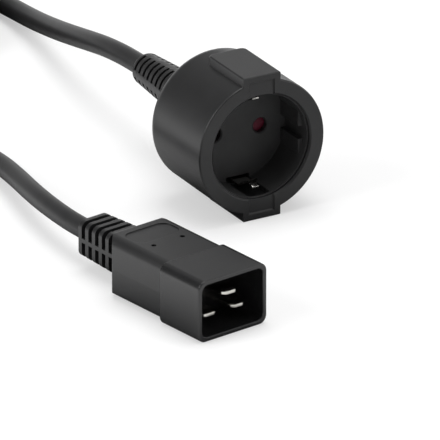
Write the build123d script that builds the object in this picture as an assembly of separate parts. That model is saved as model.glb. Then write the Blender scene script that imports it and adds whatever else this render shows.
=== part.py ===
from build123d import *
import math
import os

# Power cord with a round earthed socket on one end and a flat-pin appliance plug on the other.
# Millimetres. +X is to the right of the socket's face, +Y runs into the socket, +Z is up.
# The origin is on the floor under the middle of the socket, which stands on its lower grip block.

# Socket housing, one moulding with its grip blocks, neck and ribbed relief
SOCKET_LENGTH = 84.0
BODY_DIAMETER = 51.8
BODY_DRAFT = 0.3
BODY_REAR_WALL = 1.7
BODY_REAR_ROUNDING_SHARE = 0.4
FACE_ROUNDING = 0.7
RING_WIDTH = 6.2
LIP_STEP = 0.4
LIP_THICKNESS = 1.6
LIP_CHAMFER = 0.6
GRIP_PROUD = 2.1
GRIP_WIDTH = 15.4
GRIP_LENGTH = 26.0
GRIP_REAR_ROUNDING = 2.2
GRIP_EDGE_ROUNDING = 0.6
PANEL_WIDTH = 10.6
PANEL_DEPTH = 0.7
PANEL_MARGIN = 2.4
PANEL_FLOOR_CHAMFER = 0.45
NECK_WALL = 2.9
NECK_LENGTH = 19.5
NECK_FOOT_ROUNDING_SHARE = 0.25
RELIEF_BASE_DIAMETER = 15.8
RELIEF_TIP_DIAMETER = 12.0
RELIEF_TIP_ROUNDING = 1.2
RELIEF_SLOTS = 7
RELIEF_SLOT_SHARE = 0.42
RELIEF_WEB = 2.6
RELIEF_CORE_WALL = 1.1

# Socket insert, the hard cup
RECESS_DEPTH = 17.5
CUP_WALL = 1.3
FLOOR_THICKNESS = 2.2
MOULD_CLEARANCE = 0.05
PIN_SPACING = 19.0
PIN_HOLE_DIAMETER = 5.6
PIN_HOLE_CHAMFER = 0.5
LAND_DEPTH = 4.8
LAND_HEIGHT = 6.6
LAND_GAP = 5.0
LAND_PROUD = 1.9
CLIP_WINDOW_WIDTH = 9.4
CLIP_WINDOW_NEAR = 2.5

# Shutter behind the pin holes, turning on the carrier's boss
SHUTTER_THICKNESS = 2.2
SHUTTER_PLAY = 0.25
SHUTTER_PAD_DIAMETER = 6.8
SHUTTER_ARM_WIDTH = 4.4
SHUTTER_HUB_DIAMETER = 9.2
SHUTTER_RAMP = 1.3
SHUTTER_TRAVEL = 40.0
PIVOT_DIAMETER = 5.0
PIVOT_CLEARANCE = 0.12
STOP_DIAMETER = 2.0
STOP_RADIUS = 8.0
STOP_GAP = 0.3

# Shutter return spring, a bent leaf
LEAF_THICKNESS = 0.35
LEAF_WIDTH = 1.7
LEAF_FOOT_X = -4.0
LEAF_BEND_X = 6.4
LEAF_RISE = 0.8
LEAF_WALL_GAP = 5.5
LEAF_TIP_X = 5.7
LEAF_GAP = 0.3
LEAF_BEND_RADIUS = 4.0
LEAF_POST_DIAMETER = 2.4
LEAF_POST_PLACE = 1.3
LEAF_POST_CLEARANCE = 0.05

# Contact carrier and contacts
CARRIER_LENGTH = 13.4
CARRIER_BACK_WALL = 1.5
CHAMBER_DIAMETER = 7.6
SLEEVE_BORE = 4.7
SLEEVE_WALL = 0.9
SLEEVE_FRONT_GAP = 0.8
SLEEVE_SLIT = 0.8
SLEEVE_SLIT_LENGTH = 7.0
SLEEVE_BASE = 0.8
BARREL_DIAMETER = 3.6
BARREL_LENGTH = 5.0
TAIL_HOLE_DIAMETER = 4.0

# Earth bracket, one bent strip with a clip at each end
STRIP_THICKNESS = 0.8
STRIP_WIDTH = 6.0
CLIP_SET_IN = 1.1
CLIP_CREST_PROUD = 3.8
CLIP_TIP_PROUD = 2.2
CLIP_TIP = 4.6
CLIP_CREST = 8.0
CLIP_ROOT = 11.6
BRACKET_BEND = 1.2
BRACKET_BACK_CLEARANCE = 0.2
STRIP_CLEARANCE = 0.3

# Cord and its cores
CORD_DIAMETER = 7.6
CORD_BORE_CLEARANCE = 0.1
CORD_TUCK_SHARE = 0.45
CORD_LEAD_OUT = 7.5
CORE_DIAMETER = 2.6
CORE_SEAT_RADIUS = 1.56
CORE_SEAT_ANGLE = 30.0
CORE_BEND = 6.0
CORE_IN_BARREL = 3.5
CORE_CLEARANCE = 0.05
CORE_LEAD = 1.0
WIRE_ROOM_CLEARANCE = 1.3

# Plug shroud, the hard box with the pin floor
SHROUD_WIDTH = 31.0
SHROUD_HEIGHT = 23.4
SHROUD_LENGTH = 22.0
SHROUD_WALL = 1.7
SHROUD_CAVITY = 18.5
SHROUD_CORNER = 3.2
SHROUD_INNER_CORNER = 2.6
SHROUD_RIM_ROUNDING = 0.6
SPIGOT_WALL = 3.0
SPIGOT_LENGTH = 7.0

# Plug blades
BLADE_WIDTH = 8.0
BLADE_THICKNESS = 2.0
BLADE_TIP_ROUNDING = 2.8
BLADE_TIP_CHAMFER = 0.5
BLADE_SPACING = 13.0
BLADE_ROW_OFFSET = 4.0
POWER_BLADE_SET_BACK = 4.4
EARTH_BLADE_SET_BACK = 1.0
TAIL_WIDTH = 5.0
TAIL_THICKNESS = 1.4

# Plug housing, one moulding with its square ribbed relief
PLUG_BODY_END = 55.0
PLUG_STEP = 1.0
PLUG_DRAFT = 0.5
PLUG_TOP_EDGE = 3.6
PLUG_LOW_EDGE = 2.6
PLUG_REAR_CORNER = 4.5
PLUG_REAR_ROUNDING = 1.4
CHAMBER_TAPER = 16.0
PLUG_RELIEF_LENGTH = 24.0
PLUG_RELIEF_BASE = 15.4
PLUG_RELIEF_TIP = 13.8
PLUG_RELIEF_CORNER = 2.6
PLUG_RELIEF_CORE = 10.4
PLUG_RIBS = 6
PLUG_RIB_SHARE = 0.48
PLUG_WEB = 1.6
LOFT_SLICE = 0.5
LABEL_RECESS_WIDTH = 20.0
LABEL_RECESS_LENGTH = 11.0
LABEL_RECESS_DEPTH = 0.35
LABEL_RECESS_FROM_END = 9.5
LABEL_RECESS_CORNER = 4.0
TOP_HOLE_DIAMETER = 1.9
TOP_HOLE_DEPTH = 1.2
TOP_HOLE_SPACING = 13.0
TOP_HOLE_FROM_END = 18.5

# Where the plug lies: the middle of its rim on the floor, and how far it is turned
PLUG_X = -60.0
PLUG_Y = -125.0
PLUG_TURN = 9.0

# Coil of the cord that is put away, and the strap that ties it
COIL_X = -44.5
COIL_Y = 183.5
COIL_MEAN_DIAMETER = 80.0
COIL_ACROSS = 3
COIL_LAYERS = 2
TIE_WIDTH = 12.0
TIE_THICKNESS = 1.0
COIL_EDGE_FLAT = 0.1
COIL_ENTRY_DEPTH = 1.9
COIL_ENTRY_DIRECTION = 42.5
COIL_EXIT_DIRECTION = 194.3
COIL_EXIT_HEIGHT = 10.4
TIE_DIRECTION = 100.0
TIE_TAIL_LENGTH = 16.0

# Worked out from the sizes above
SOCKET_FACE_Y = -SOCKET_LENGTH / 2
GRIP_SPAN = BODY_DIAMETER + 2 * GRIP_PROUD
SOCKET_AXIS_Z = GRIP_SPAN / 2
RECESS_DIAMETER = BODY_DIAMETER - 2 * RING_WIDTH
FLOOR_BACK = RECESS_DEPTH + FLOOR_THICKNESS
CARRIER_FRONT = FLOOR_BACK + SHUTTER_THICKNESS + 2 * SHUTTER_PLAY
CARRIER_BACK = CARRIER_FRONT + CARRIER_LENGTH
BODY_LENGTH = CARRIER_BACK + BODY_REAR_WALL
NECK_END = BODY_LENGTH + NECK_LENGTH
RELIEF_LENGTH = SOCKET_LENGTH - NECK_END
CORD_TUCK = CORD_TUCK_SHARE * RELIEF_LENGTH
BRACKET_DEPTH = STRIP_THICKNESS + BRACKET_BACK_CLEARANCE
CLIP_RADIUS = RECESS_DIAMETER / 2 - CLIP_SET_IN
LEAF_DROP = RECESS_DIAMETER / 2 - LEAF_WALL_GAP
CUP_OUTER_RADIUS = RECESS_DIAMETER / 2 + CUP_WALL
BORE_RADIUS = CUP_OUTER_RADIUS + MOULD_CLEARANCE
CORD_BORE_RADIUS = CORD_DIAMETER / 2 + CORD_BORE_CLEARANCE
CHAMBER_BOTTOM = CARRIER_BACK - CARRIER_BACK_WALL
PLUG_AXIS_Z = SHROUD_HEIGHT / 2
PLUG_LENGTH = PLUG_BODY_END + PLUG_RELIEF_LENGTH
PLUG_TUCK = CORD_TUCK_SHARE * PLUG_RELIEF_LENGTH
SPIGOT_WIDTH = BLADE_SPACING + TAIL_WIDTH + 2 * SPIGOT_WALL
SPIGOT_HEIGHT = 2 * BLADE_ROW_OFFSET + TAIL_THICKNESS + 2 * SPIGOT_WALL
SPIGOT_END = SHROUD_LENGTH + SPIGOT_LENGTH
WIRE_ROOM_RADIUS = PIN_SPACING / 2 + BARREL_DIAMETER / 2 + WIRE_ROOM_CLEARANCE
NECK_BASE_DIAMETER = 2 * (WIRE_ROOM_RADIUS + NECK_WALL)
CHAMBER_WIDTH = BLADE_SPACING + BARREL_DIAMETER + 2 * WIRE_ROOM_CLEARANCE
CHAMBER_HEIGHT = 2 * BLADE_ROW_OFFSET + BARREL_DIAMETER + 2 * WIRE_ROOM_CLEARANCE
CHAMBER_END = PLUG_BODY_END - CHAMBER_TAPER
BLADES = {
    "line": (-BLADE_SPACING / 2, -BLADE_ROW_OFFSET),
    "neutral": (BLADE_SPACING / 2, -BLADE_ROW_OFFSET),
    "earth": (0.0, BLADE_ROW_OFFSET),
}
COIL_WIDTH = COIL_ACROSS * CORD_DIAMETER
COIL_HEIGHT = COIL_LAYERS * CORD_DIAMETER
FLOOR_LINE = CORD_DIAMETER / 2
OVERCUT = 1.0


def prism(outline, near, far):
    """Extrude an outline, drawn across the part with its second axis up, between two depths."""
    plane = Plane(origin=(0, far, 0), x_dir=(1, 0, 0), z_dir=(0, -1, 0))
    return extrude(plane * outline, far - near)


def rod(diameter, near, far, x=0.0, z=0.0):
    """A round rod along the depth."""
    return prism(Pos(x, z) * Circle(diameter / 2), near, far)


def at_corner(outline, x, y):
    """The outline's corner nearest to a point."""
    return outline.vertices().sort_by_distance((x, y, 0))[0]


def turned(points, roundings=()):
    """Turn a closed outline of radius and depth pairs about the depth axis, with some corners rounded."""
    outline = make_face(Polyline(*points, close=True))
    for (radius, depth), rounding in roundings:
        outline = fillet(at_corner(outline, radius, depth), rounding)
    return revolve(outline, Axis.Y)


def swept_tube(points, bend, diameter):
    """A round tube along straight runs joined by arcs."""
    path = FilletPolyline(*points, radius=bend)
    section = Plane(origin=path @ 0, z_dir=path % 0) * Circle(diameter / 2)
    return sweep(section, path=path)


def in_socket(piece):
    """Move a piece from the socket's own axis to its place above the floor."""
    return Location((0, SOCKET_FACE_Y, SOCKET_AXIS_Z)) * piece


def in_plug(piece):
    """Move a piece from the plug's own axis to its place on the floor."""
    return Location((PLUG_X, PLUG_Y, PLUG_AXIS_Z), (0, 0, PLUG_TURN)) * piece


def relief_radius(depth):
    """The socket relief's outer radius at a depth."""
    share = (depth - NECK_END) / RELIEF_LENGTH
    return (RELIEF_BASE_DIAMETER + share * (RELIEF_TIP_DIAMETER - RELIEF_BASE_DIAMETER)) / 2


def relief_slots():
    """Ring slots along the socket's relief, interrupted by four webs."""
    core = CORD_BORE_RADIUS + RELIEF_CORE_WALL
    rings = []
    pitch = RELIEF_LENGTH / (RELIEF_SLOTS + 1)
    for index in range(RELIEF_SLOTS):
        near = SOCKET_LENGTH - (index + 1) * pitch
        far = near + RELIEF_SLOT_SHARE * pitch
        outside = relief_radius(near) + OVERCUT
        ring = rod(2 * outside, near, far) - rod(2 * core, near, far)
        rings.append(ring)
    reach = RELIEF_BASE_DIAMETER + 2 * OVERCUT
    webs = prism(Rectangle(RELIEF_WEB, reach) + Rectangle(reach, RELIEF_WEB), NECK_END, SOCKET_LENGTH)
    return [ring - webs for ring in rings]


def socket_housing():
    """The soft outer moulding of the socket, hollow for the insert, the cores and the cord."""
    body = BODY_DIAMETER / 2
    rear = body - BODY_DRAFT
    neck = NECK_BASE_DIAMETER / 2
    shoulder = rear - neck
    foot_rounding = NECK_FOOT_ROUNDING_SHARE * shoulder
    base = RELIEF_BASE_DIAMETER / 2
    tip = RELIEF_TIP_DIAMETER / 2
    outside = turned(
        [(0, 0), (body, 0), (rear, BODY_LENGTH), (neck, BODY_LENGTH), (base, NECK_END), (tip, SOCKET_LENGTH),
         (0, SOCKET_LENGTH)],
        [((body, 0), FACE_ROUNDING), ((rear, BODY_LENGTH), BODY_REAR_ROUNDING_SHARE * shoulder),
         ((neck, BODY_LENGTH), foot_rounding), ((base, NECK_END), foot_rounding),
         ((tip, SOCKET_LENGTH), RELIEF_TIP_ROUNDING)],
    )
    blocks = prism(Rectangle(GRIP_WIDTH, GRIP_SPAN), 0, GRIP_LENGTH)
    upright = blocks.edges().filter_by(Axis.Z)
    blocks = fillet(upright.sort_by(Axis.Y)[-2:], GRIP_REAR_ROUNDING)
    ends = blocks.faces().sort_by(Axis.Z)
    blocks = fillet(ends[-1].edges() + ends[0].edges(), GRIP_EDGE_ROUNDING)
    lip = RECESS_DIAMETER / 2 + LIP_STEP
    inside = turned(
        [(0, -OVERCUT), (lip + LIP_CHAMFER + OVERCUT, -OVERCUT), (lip, LIP_CHAMFER), (lip, LIP_THICKNESS),
         (BORE_RADIUS, LIP_THICKNESS), (BORE_RADIUS, CARRIER_BACK), (WIRE_ROOM_RADIUS, CARRIER_BACK),
         (WIRE_ROOM_RADIUS, CARRIER_BACK + BARREL_LENGTH), (CORD_BORE_RADIUS, NECK_END),
         (CORD_BORE_RADIUS, SOCKET_LENGTH + OVERCUT), (0, SOCKET_LENGTH + OVERCUT)]
    )
    panels = prism(Rectangle(PANEL_WIDTH, GRIP_SPAN - 2 * PANEL_MARGIN), -OVERCUT, PANEL_DEPTH)
    panel_floor = panels.faces().sort_by(Axis.Y)[-1]
    panels = chamfer(panel_floor.edges(), PANEL_FLOOR_CHAMFER)
    return outside + blocks - inside - panels - relief_slots()


def guide_lands():
    """Pairs of raised lands on the left and right walls of the recess, with a gap between each pair."""
    wall = RECESS_DIAMETER / 2
    span = 2 * LAND_HEIGHT + LAND_GAP
    outline = Circle(wall + CUP_WALL / 2) & Rectangle(2 * BODY_DIAMETER, span)
    outline -= Rectangle(2 * (wall - LAND_PROUD), span + OVERCUT)
    outline -= Rectangle(2 * BODY_DIAMETER, LAND_GAP)
    return prism(outline, LAND_DEPTH, RECESS_DEPTH + FLOOR_THICKNESS / 2)


def pin_places():
    """The two pin positions across the socket."""
    return (-PIN_SPACING / 2, PIN_SPACING / 2)


def socket_insert():
    """The hard cup: wall, floor with the pin holes, guide lands, clip windows and the shutter's pocket."""
    inner = RECESS_DIAMETER / 2
    cup = turned(
        [(0, RECESS_DEPTH), (inner, RECESS_DEPTH), (inner, LIP_THICKNESS), (CUP_OUTER_RADIUS, LIP_THICKNESS),
         (CUP_OUTER_RADIUS, CARRIER_FRONT), (inner, CARRIER_FRONT), (inner, FLOOR_BACK), (0, FLOOR_BACK)]
    )
    cup += guide_lands()
    window = Rectangle(CLIP_WINDOW_WIDTH, 2 * BORE_RADIUS + OVERCUT)
    window -= Rectangle(CLIP_WINDOW_WIDTH, 2 * (inner - CUP_WALL - STRIP_THICKNESS))
    cup -= prism(window & Circle(inner + OVERCUT / 2), RECESS_DEPTH - OVERCUT, CARRIER_FRONT)
    cup -= prism(window, CLIP_WINDOW_NEAR, RECESS_DEPTH)
    for x in pin_places():
        cup -= rod(PIN_HOLE_DIAMETER, RECESS_DEPTH - OVERCUT, FLOOR_BACK + OVERCUT, x)
        hole = PIN_HOLE_DIAMETER / 2
        near = RECESS_DEPTH - OVERCUT
        far = RECESS_DEPTH + PIN_HOLE_CHAMFER
        funnel = turned([(0, near), (hole + PIN_HOLE_CHAMFER + OVERCUT, near), (hole, far), (0, far)])
        cup -= Pos(x, 0, 0) * funnel
    return cup


def shutter():
    """The bar that covers both pin holes, bored for its pivot, with a ramp on the edge that a pin pushes."""
    near = FLOOR_BACK + SHUTTER_PLAY
    far = near + SHUTTER_THICKNESS
    outline = Circle(SHUTTER_HUB_DIAMETER / 2) + Rectangle(PIN_SPACING, SHUTTER_ARM_WIDTH)
    for x in pin_places():
        outline += Pos(x, 0) * Circle(SHUTTER_PAD_DIAMETER / 2)
    outline -= Circle(PIVOT_DIAMETER / 2 + PIVOT_CLEARANCE)
    bar = prism(outline, near, far)
    for x in pin_places():
        ramp = Plane.YZ * make_face(Polyline(
            (near - OVERCUT, 0), (near, 0), (near + SHUTTER_RAMP, SHUTTER_PAD_DIAMETER / 2),
            (near + SHUTTER_RAMP, SHUTTER_PAD_DIAMETER), (near - OVERCUT, SHUTTER_PAD_DIAMETER), close=True))
        wedge = extrude(ramp, SHUTTER_PAD_DIAMETER / 2, both=True)
        if x < 0:
            wedge = mirror(wedge, Plane.XY)
        bar -= Pos(x, 0, 0) * wedge
    return bar


def stop_angles():
    """Where the two stops stand, in degrees: above the right-hand pad, and below it when it is open."""
    pad = PIN_SPACING / 2
    reach = (SHUTTER_PAD_DIAMETER + STOP_DIAMETER) / 2 + STOP_GAP
    swing = math.degrees(math.acos((STOP_RADIUS ** 2 + pad ** 2 - reach ** 2) / (2 * STOP_RADIUS * pad)))
    return (swing, -SHUTTER_TRAVEL - swing)


def leaf_spring():
    """The flat leaf that pushes the shutter back, held at its foot and ending under the right-hand arm."""
    tip = (LEAF_TIP_X, -SHUTTER_ARM_WIDTH / 2 - LEAF_GAP)
    foot = (LEAF_FOOT_X, -LEAF_DROP)
    path = FilletPolyline(foot, (LEAF_BEND_X, LEAF_RISE - LEAF_DROP), tip, radius=LEAF_BEND_RADIUS)
    middle = FLOOR_BACK + SHUTTER_PLAY + SHUTTER_THICKNESS / 2
    outline = trace(path, LEAF_THICKNESS)
    return prism(outline, middle - LEAF_WIDTH / 2, middle + LEAF_WIDTH / 2)


def leaf_posts():
    """Two posts on the carrier that grip the leaf's foot."""
    step = (LEAF_THICKNESS + LEAF_POST_DIAMETER) / 2 + LEAF_POST_CLEARANCE
    foot = Vector(LEAF_FOOT_X, -LEAF_DROP)
    along = Vector(LEAF_BEND_X - LEAF_FOOT_X, LEAF_RISE).normalized()
    across = Vector(-along.Y, along.X)
    middle = foot + along * LEAF_POST_PLACE
    places = (middle + across * step, middle - across * step)
    near = FLOOR_BACK + SHUTTER_PLAY
    return [rod(LEAF_POST_DIAMETER, near, CARRIER_FRONT, place.X, place.Y) for place in places]


def contact_carrier():
    """The block behind the shutter: two contact chambers, the pivot boss, stops and the bracket's slots."""
    block = rod(2 * CUP_OUTER_RADIUS, CARRIER_FRONT, CARRIER_BACK)
    boss = rod(PIVOT_DIAMETER, FLOOR_BACK, CARRIER_FRONT)
    block = block + boss + leaf_posts()
    for angle in stop_angles():
        x = STOP_RADIUS * math.cos(math.radians(angle))
        z = STOP_RADIUS * math.sin(math.radians(angle))
        block += rod(STOP_DIAMETER, FLOOR_BACK + SHUTTER_PLAY, CARRIER_FRONT, x, z)
    for x in pin_places():
        block -= rod(CHAMBER_DIAMETER, CARRIER_FRONT - OVERCUT, CHAMBER_BOTTOM, x)
        block -= rod(TAIL_HOLE_DIAMETER, CHAMBER_BOTTOM, CARRIER_BACK, x)
    slot_width = STRIP_WIDTH + 2 * STRIP_CLEARANCE
    slot_outside = CLIP_RADIUS + STRIP_THICKNESS / 2 + STRIP_CLEARANCE
    groove = Rectangle(slot_width, 2 * slot_outside)
    slots = groove - Rectangle(slot_width, 2 * (CLIP_RADIUS - BRACKET_BEND))
    block -= prism(slots, CARRIER_FRONT - OVERCUT, CARRIER_BACK + OVERCUT)
    block -= prism(groove, CARRIER_BACK - BRACKET_DEPTH, CARRIER_BACK + OVERCUT)
    return block


def crimp_barrel(near, x=0.0, z=0.0):
    """A round barrel that grips the end of a core."""
    bore = CORE_DIAMETER + 2 * CORE_CLEARANCE
    far = near + BARREL_LENGTH
    return rod(BARREL_DIAMETER, near, far, x, z) - rod(bore, far - CORE_IN_BARREL, far, x, z)


def sleeve_contact(x):
    """A slit sleeve that takes a round pin, with a crimp barrel behind."""
    near = CARRIER_FRONT + SLEEVE_FRONT_GAP
    outer = SLEEVE_BORE + 2 * SLEEVE_WALL
    sleeve = rod(outer, near, CHAMBER_BOTTOM) - rod(SLEEVE_BORE, near, CHAMBER_BOTTOM - SLEEVE_BASE)
    slits = Rectangle(SLEEVE_SLIT, outer + OVERCUT) + Rectangle(outer + OVERCUT, SLEEVE_SLIT)
    sleeve -= prism(slits, near - OVERCUT, near + SLEEVE_SLIT_LENGTH)
    sleeve += crimp_barrel(CHAMBER_BOTTOM)
    return Pos(x, 0, 0) * sleeve


def earth_bracket():
    """One strip bent across the carrier's back, its two arms ending in clips inside the recess."""
    back = CARRIER_BACK - BRACKET_DEPTH + STRIP_THICKNESS / 2
    wall = RECESS_DIAMETER / 2
    arm = [(CLIP_TIP, wall - CLIP_TIP_PROUD), (CLIP_CREST, wall - CLIP_CREST_PROUD),
           (CLIP_ROOT, CLIP_RADIUS), (back, CLIP_RADIUS)]
    far_arm = [(depth, -height) for depth, height in reversed(arm)]
    path = FilletPolyline(*arm, *far_arm, radius=BRACKET_BEND)
    profile = Plane.YZ * trace(path, STRIP_THICKNESS)
    strip = extrude(profile, STRIP_WIDTH / 2, both=True)
    return strip + crimp_barrel(back + STRIP_THICKNESS / 2)


def core_seat(name, side):
    """Where a core sits beside the cord's axis, across and up: earth on top, the others below."""
    if name == "earth":
        return 0.0, CORE_SEAT_RADIUS
    angle = math.radians(CORE_SEAT_ANGLE)
    return math.copysign(CORE_SEAT_RADIUS * math.cos(angle), side), -CORE_SEAT_RADIUS * math.sin(angle)


def core(start, seat, leave, join, end):
    """An insulated core from a crimp barrel to its seat in the cord."""
    x, z = start[0], start[2]
    points = [start, (x, leave, z), (seat[0], join, seat[1]), (seat[0], end, seat[1])]
    return swept_tube(points, CORE_BEND, CORE_DIAMETER)


def socket_cores():
    """The three cores inside the socket."""
    begin = CARRIER_BACK - CARRIER_BACK_WALL + BARREL_LENGTH - CORE_IN_BARREL
    begin_earth = CARRIER_BACK - BRACKET_DEPTH + STRIP_THICKNESS + BARREL_LENGTH - CORE_IN_BARREL
    leave = CARRIER_BACK + BARREL_LENGTH + CORE_LEAD
    end = SOCKET_LENGTH - CORD_TUCK
    half = PIN_SPACING / 2
    starts = {"line": (half, begin, 0), "neutral": (-half, begin, 0), "earth": (0, begin_earth, 0)}
    return {name: core(at, core_seat(name, at[0]), leave, NECK_END, end) for name, at in starts.items()}


def plug_shroud():
    """The hard box around the blades, with its pin floor and the spigot behind it."""
    box = prism(RectangleRounded(SHROUD_WIDTH, SHROUD_HEIGHT, SHROUD_CORNER), 0, SHROUD_LENGTH)
    rim = box.faces().sort_by(Axis.Y)[0].edges()
    box = fillet(rim, SHROUD_RIM_ROUNDING)
    inner_width = SHROUD_WIDTH - 2 * SHROUD_WALL
    inner_height = SHROUD_HEIGHT - 2 * SHROUD_WALL
    box -= prism(RectangleRounded(inner_width, inner_height, SHROUD_INNER_CORNER), -OVERCUT, SHROUD_CAVITY)
    inner_rim = box.faces().sort_by(Axis.Y)[0].inner_wires()[0].edges()
    box = chamfer(inner_rim, SHROUD_RIM_ROUNDING / 2)
    box += prism(Rectangle(SPIGOT_WIDTH, SPIGOT_HEIGHT), SHROUD_LENGTH - OVERCUT, SPIGOT_END)
    for x, z in BLADES.values():
        slot = Pos(x, z) * Rectangle(BLADE_WIDTH, BLADE_THICKNESS)
        box -= prism(slot, SHROUD_CAVITY - OVERCUT, SHROUD_LENGTH)
        box -= prism(Pos(x, z) * Rectangle(TAIL_WIDTH, TAIL_THICKNESS), SHROUD_LENGTH, SPIGOT_END)
    return box


def blade(x, z, set_back):
    """A flat blade with a rounded tip, a narrower tail in the spigot and a crimp barrel."""
    flat = prism(Rectangle(BLADE_WIDTH, BLADE_THICKNESS), set_back, SHROUD_LENGTH)
    corners = flat.edges().filter_by(Axis.Z).sort_by(Axis.Y)[:2]
    flat = fillet(corners, BLADE_TIP_ROUNDING)
    nose = flat.faces().filter_by(Axis.Y).sort_by(Axis.Y)[0]
    flat = chamfer(nose.edges().filter_by(Axis.X), BLADE_TIP_CHAMFER)
    flat += prism(Rectangle(TAIL_WIDTH, TAIL_THICKNESS), SHROUD_LENGTH, SPIGOT_END)
    flat += crimp_barrel(SPIGOT_END)
    return Pos(x, 0, z) * flat


def plug_cores():
    """The three cores inside the plug."""
    begin = SPIGOT_END + BARREL_LENGTH - CORE_IN_BARREL
    leave = SPIGOT_END + BARREL_LENGTH + CORE_LEAD
    end = PLUG_LENGTH - PLUG_TUCK
    return {name: core((x, begin, z), core_seat(name, x), leave, PLUG_BODY_END, end)
            for name, (x, z) in BLADES.items()}


def slice_face(outline, depth):
    """One face of an outline, drawn across the part at a depth."""
    return prism(outline, depth, depth + LOFT_SLICE).faces().sort_by(Axis.Y)[0]


def plug_relief():
    """The square ribbed relief: a core, ribs with gaps between, and a web along each side."""
    begin = PLUG_BODY_END - LOFT_SLICE
    full = loft([
        slice_face(RectangleRounded(PLUG_RELIEF_BASE, PLUG_RELIEF_BASE, PLUG_RELIEF_CORNER), begin),
        slice_face(RectangleRounded(PLUG_RELIEF_TIP, PLUG_RELIEF_TIP, PLUG_RELIEF_CORNER), PLUG_LENGTH),
    ])
    inside = RectangleRounded(PLUG_RELIEF_CORE, PLUG_RELIEF_CORE, PLUG_RELIEF_CORNER)
    relief = prism(inside, begin, PLUG_LENGTH)
    pitch = PLUG_RELIEF_LENGTH / PLUG_RIBS
    for index in range(PLUG_RIBS):
        far = PLUG_BODY_END + (index + 1) * pitch
        relief += full & prism(Rectangle(SHROUD_WIDTH, SHROUD_WIDTH), far - PLUG_RIB_SHARE * pitch, far)
    web = prism(Rectangle(SHROUD_WIDTH, PLUG_WEB), begin, PLUG_LENGTH)
    return relief + (full & web)


def plug_body_outline():
    """The plug body's section: widest at the parting line, flush with the shroud on top, a step in below."""
    middle = SHROUD_WIDTH / 2 - PLUG_STEP
    narrow = middle - PLUG_DRAFT
    top = SHROUD_HEIGHT / 2
    bottom = PLUG_STEP - top
    outline = make_face(Polyline((-narrow, bottom), (narrow, bottom), (middle, 0), (narrow, top),
                                 (-narrow, top), (-middle, 0), close=True))
    high = outline.vertices().sort_by(Axis.Y)[-2:]
    outline = fillet(high, PLUG_TOP_EDGE)
    low = outline.vertices().sort_by(Axis.Y)[:2]
    return fillet(low, PLUG_LOW_EDGE)


def plug_housing():
    """The soft outer moulding of the plug, hollow for the spigot, the cores and the cord."""
    body = prism(plug_body_outline(), SHROUD_LENGTH, PLUG_BODY_END)
    width = SHROUD_WIDTH - 2 * PLUG_STEP
    top = SHROUD_HEIGHT / 2
    side = width / 2
    narrow = side - PLUG_REAR_CORNER
    turn_in = PLUG_BODY_END - PLUG_REAR_CORNER
    plan = Plane.XY * make_face(Polyline(
        (-side, SHROUD_LENGTH), (side, SHROUD_LENGTH), (side, turn_in), (narrow, PLUG_BODY_END),
        (-narrow, PLUG_BODY_END), (-side, turn_in), close=True))
    corners = plan.vertices().sort_by(Axis.Y)[2:]
    plan = fillet(corners, PLUG_REAR_CORNER / 2)
    upright = Plane.YZ * Pos((SHROUD_LENGTH + PLUG_BODY_END) / 2, PLUG_STEP / 2) * Rectangle(
        PLUG_BODY_END - SHROUD_LENGTH, SHROUD_HEIGHT - PLUG_STEP)
    upright = fillet(upright.vertices().sort_by(Axis.Y)[-2:], PLUG_REAR_ROUNDING)
    body = body & extrude(plan, SHROUD_HEIGHT, both=True) & extrude(upright, SHROUD_WIDTH, both=True)
    recess = Pos(0, PLUG_BODY_END - LABEL_RECESS_FROM_END, top) * RectangleRounded(
        LABEL_RECESS_WIDTH, LABEL_RECESS_LENGTH, LABEL_RECESS_CORNER)
    body -= extrude(recess, LABEL_RECESS_DEPTH, both=True)
    for x in (-TOP_HOLE_SPACING / 2, TOP_HOLE_SPACING / 2):
        mark = Pos(x, PLUG_BODY_END - TOP_HOLE_FROM_END, top) * Circle(TOP_HOLE_DIAMETER / 2)
        body -= extrude(mark, TOP_HOLE_DEPTH, both=True)
    housing = body + plug_relief()
    housing -= prism(Rectangle(SPIGOT_WIDTH, SPIGOT_HEIGHT), SHROUD_LENGTH - OVERCUT, SPIGOT_END)
    housing -= prism(Rectangle(CHAMBER_WIDTH, CHAMBER_HEIGHT), SPIGOT_END, CHAMBER_END)
    housing -= loft([
        slice_face(Rectangle(CHAMBER_WIDTH, CHAMBER_HEIGHT), CHAMBER_END),
        slice_face(Rectangle(2 * CORD_BORE_RADIUS, 2 * CORD_BORE_RADIUS), PLUG_BODY_END),
    ])
    return housing - rod(2 * CORD_BORE_RADIUS, PLUG_BODY_END - OVERCUT, PLUG_LENGTH + OVERCUT)


def plug_point(depth):
    """A point of the plug's axis, in the part's frame."""
    turn = math.radians(PLUG_TURN)
    return (PLUG_X - math.sin(turn) * depth, PLUG_Y + math.cos(turn) * depth, PLUG_AXIS_Z)


def coil_point(direction, height):
    """Where the cord's middle line enters the coil, at a direction in degrees and a height."""
    reach = (COIL_MEAN_DIAMETER + COIL_WIDTH) / 2 - COIL_ENTRY_DEPTH
    turn = math.radians(direction)
    return (COIL_X + reach * math.cos(turn), COIL_Y + reach * math.sin(turn), height)


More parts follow.
